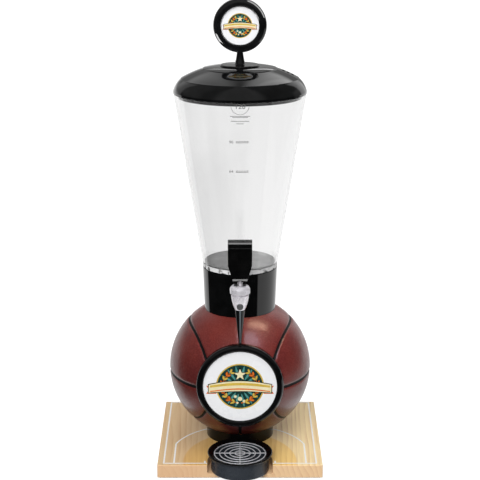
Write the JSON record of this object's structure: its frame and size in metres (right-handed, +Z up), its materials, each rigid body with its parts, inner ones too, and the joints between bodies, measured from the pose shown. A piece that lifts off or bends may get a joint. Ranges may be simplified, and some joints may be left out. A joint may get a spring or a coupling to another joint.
{
  "type": "table-top drinks tower",
  "caption": "Clear tapered drinks vessel with domed lid and round sign on a ball base, with a lever tap, a drip tray and a square wooden board.",
  "frame": {"origin": "centre of the base pad's underside, on the axis of ball, collar, vessel and lid; the surface it stands on is z = 0", "axes": "+Z up along the tower's axis, -Y forward to the tap and the tray, +X to the viewer's right from the front"},
  "size_m": [0.235, 0.2657, 0.6641],
  "materials": {
    "pad_rubber": "matt non-slip sheet",
    "board_wood": "clear satin lacquer over painted lines",
    "black_gloss": "polished black moulding",
    "ball_skin": "fine pebble grain with black seams",
    "white_print": "printed white disc",
    "clear_vessel": "clear moulding",
    "steel": "zinc-plated fasteners",
    "seal_rubber": "matt seal",
    "tap_chrome": "satin chrome plate",
    "handle_black": "black moulding",
    "screw_grey": "dark grey moulding",
    "tray_black": "slate-black moulding",
    "grille_chrome": "bright wire"
  },
  "bodies": {
    "tower": {"base_pad": "pad_rubber", "court_board": "board_wood", "foot_ring": "black_gloss", "ball_shell": "ball_skin", "badge_back": "black_gloss", "badge_screws": "steel", "badge_disc": "white_print", "badge_bezel": "black_gloss", "collar": "black_gloss", "tie_rod": "steel", "tie_nuts": "steel", "tie_washers": "steel", "drain_well": "black_gloss", "vessel_gasket": "seal_rubber", "floor_gasket": "seal_rubber", "strainer_plate": "black_gloss", "vessel": "clear_vessel", "tap_body": "tap_chrome", "tap_bonnet": "tap_chrome", "stem_ring": "seal_rubber", "valve_spring": "steel", "spout": "black_gloss", "spout_screw": "screw_grey", "shank_washer": "seal_rubber", "shank_seal": "seal_rubber", "shank_nut": "steel"},
    "lid": {"lid_shell": "black_gloss", "sign_stem": "black_gloss", "sign_nut": "steel", "sign_frame_front": "black_gloss", "sign_frame_back": "black_gloss", "sign_disc_front": "white_print", "sign_disc_back": "white_print"},
    "tray": {"tray_cup": "tray_black"},
    "grille": {"tray_grille": "grille_chrome"},
    "stem": {"valve_stem": "tap_chrome", "valve_seal": "seal_rubber", "handle_pin": "steel"},
    "handle": {"tap_handle": "handle_black"}
  },
  "joints": [
    {"name": "lid_lift", "type": "slide", "parent": "tower", "child": "lid", "axis": [0, 0, 1], "range_m": [0, 0.08]},
    {"name": "tray_slide", "type": "slide", "parent": "tower", "child": "tray", "axis": [0, -1, 0], "range_m": [0, 0.05]},
    {"name": "grille_lift", "type": "slide", "parent": "tray", "child": "grille", "axis": [0, 0, 1], "range_m": [0, 0.012]},
    {"name": "stem_lift", "type": "slide", "parent": "tower", "child": "stem", "axis": [0, 0, 1], "range_m": [0, 0.0028], "deforming": ["valve_spring"]},
    {"name": "handle_tilt", "type": "hinge", "parent": "stem", "child": "handle", "pos_m": [0, -0.104, 0.289], "axis": [1, 0, 0], "range_deg": [0, 40], "stiffness_Nm_per_rad": 0.0128, "springref_deg": -114.59}
  ],
  "couplings": [
    {"joint": "stem_lift", "follows": "handle_tilt", "m_per_rad": 0.004}
  ]
}
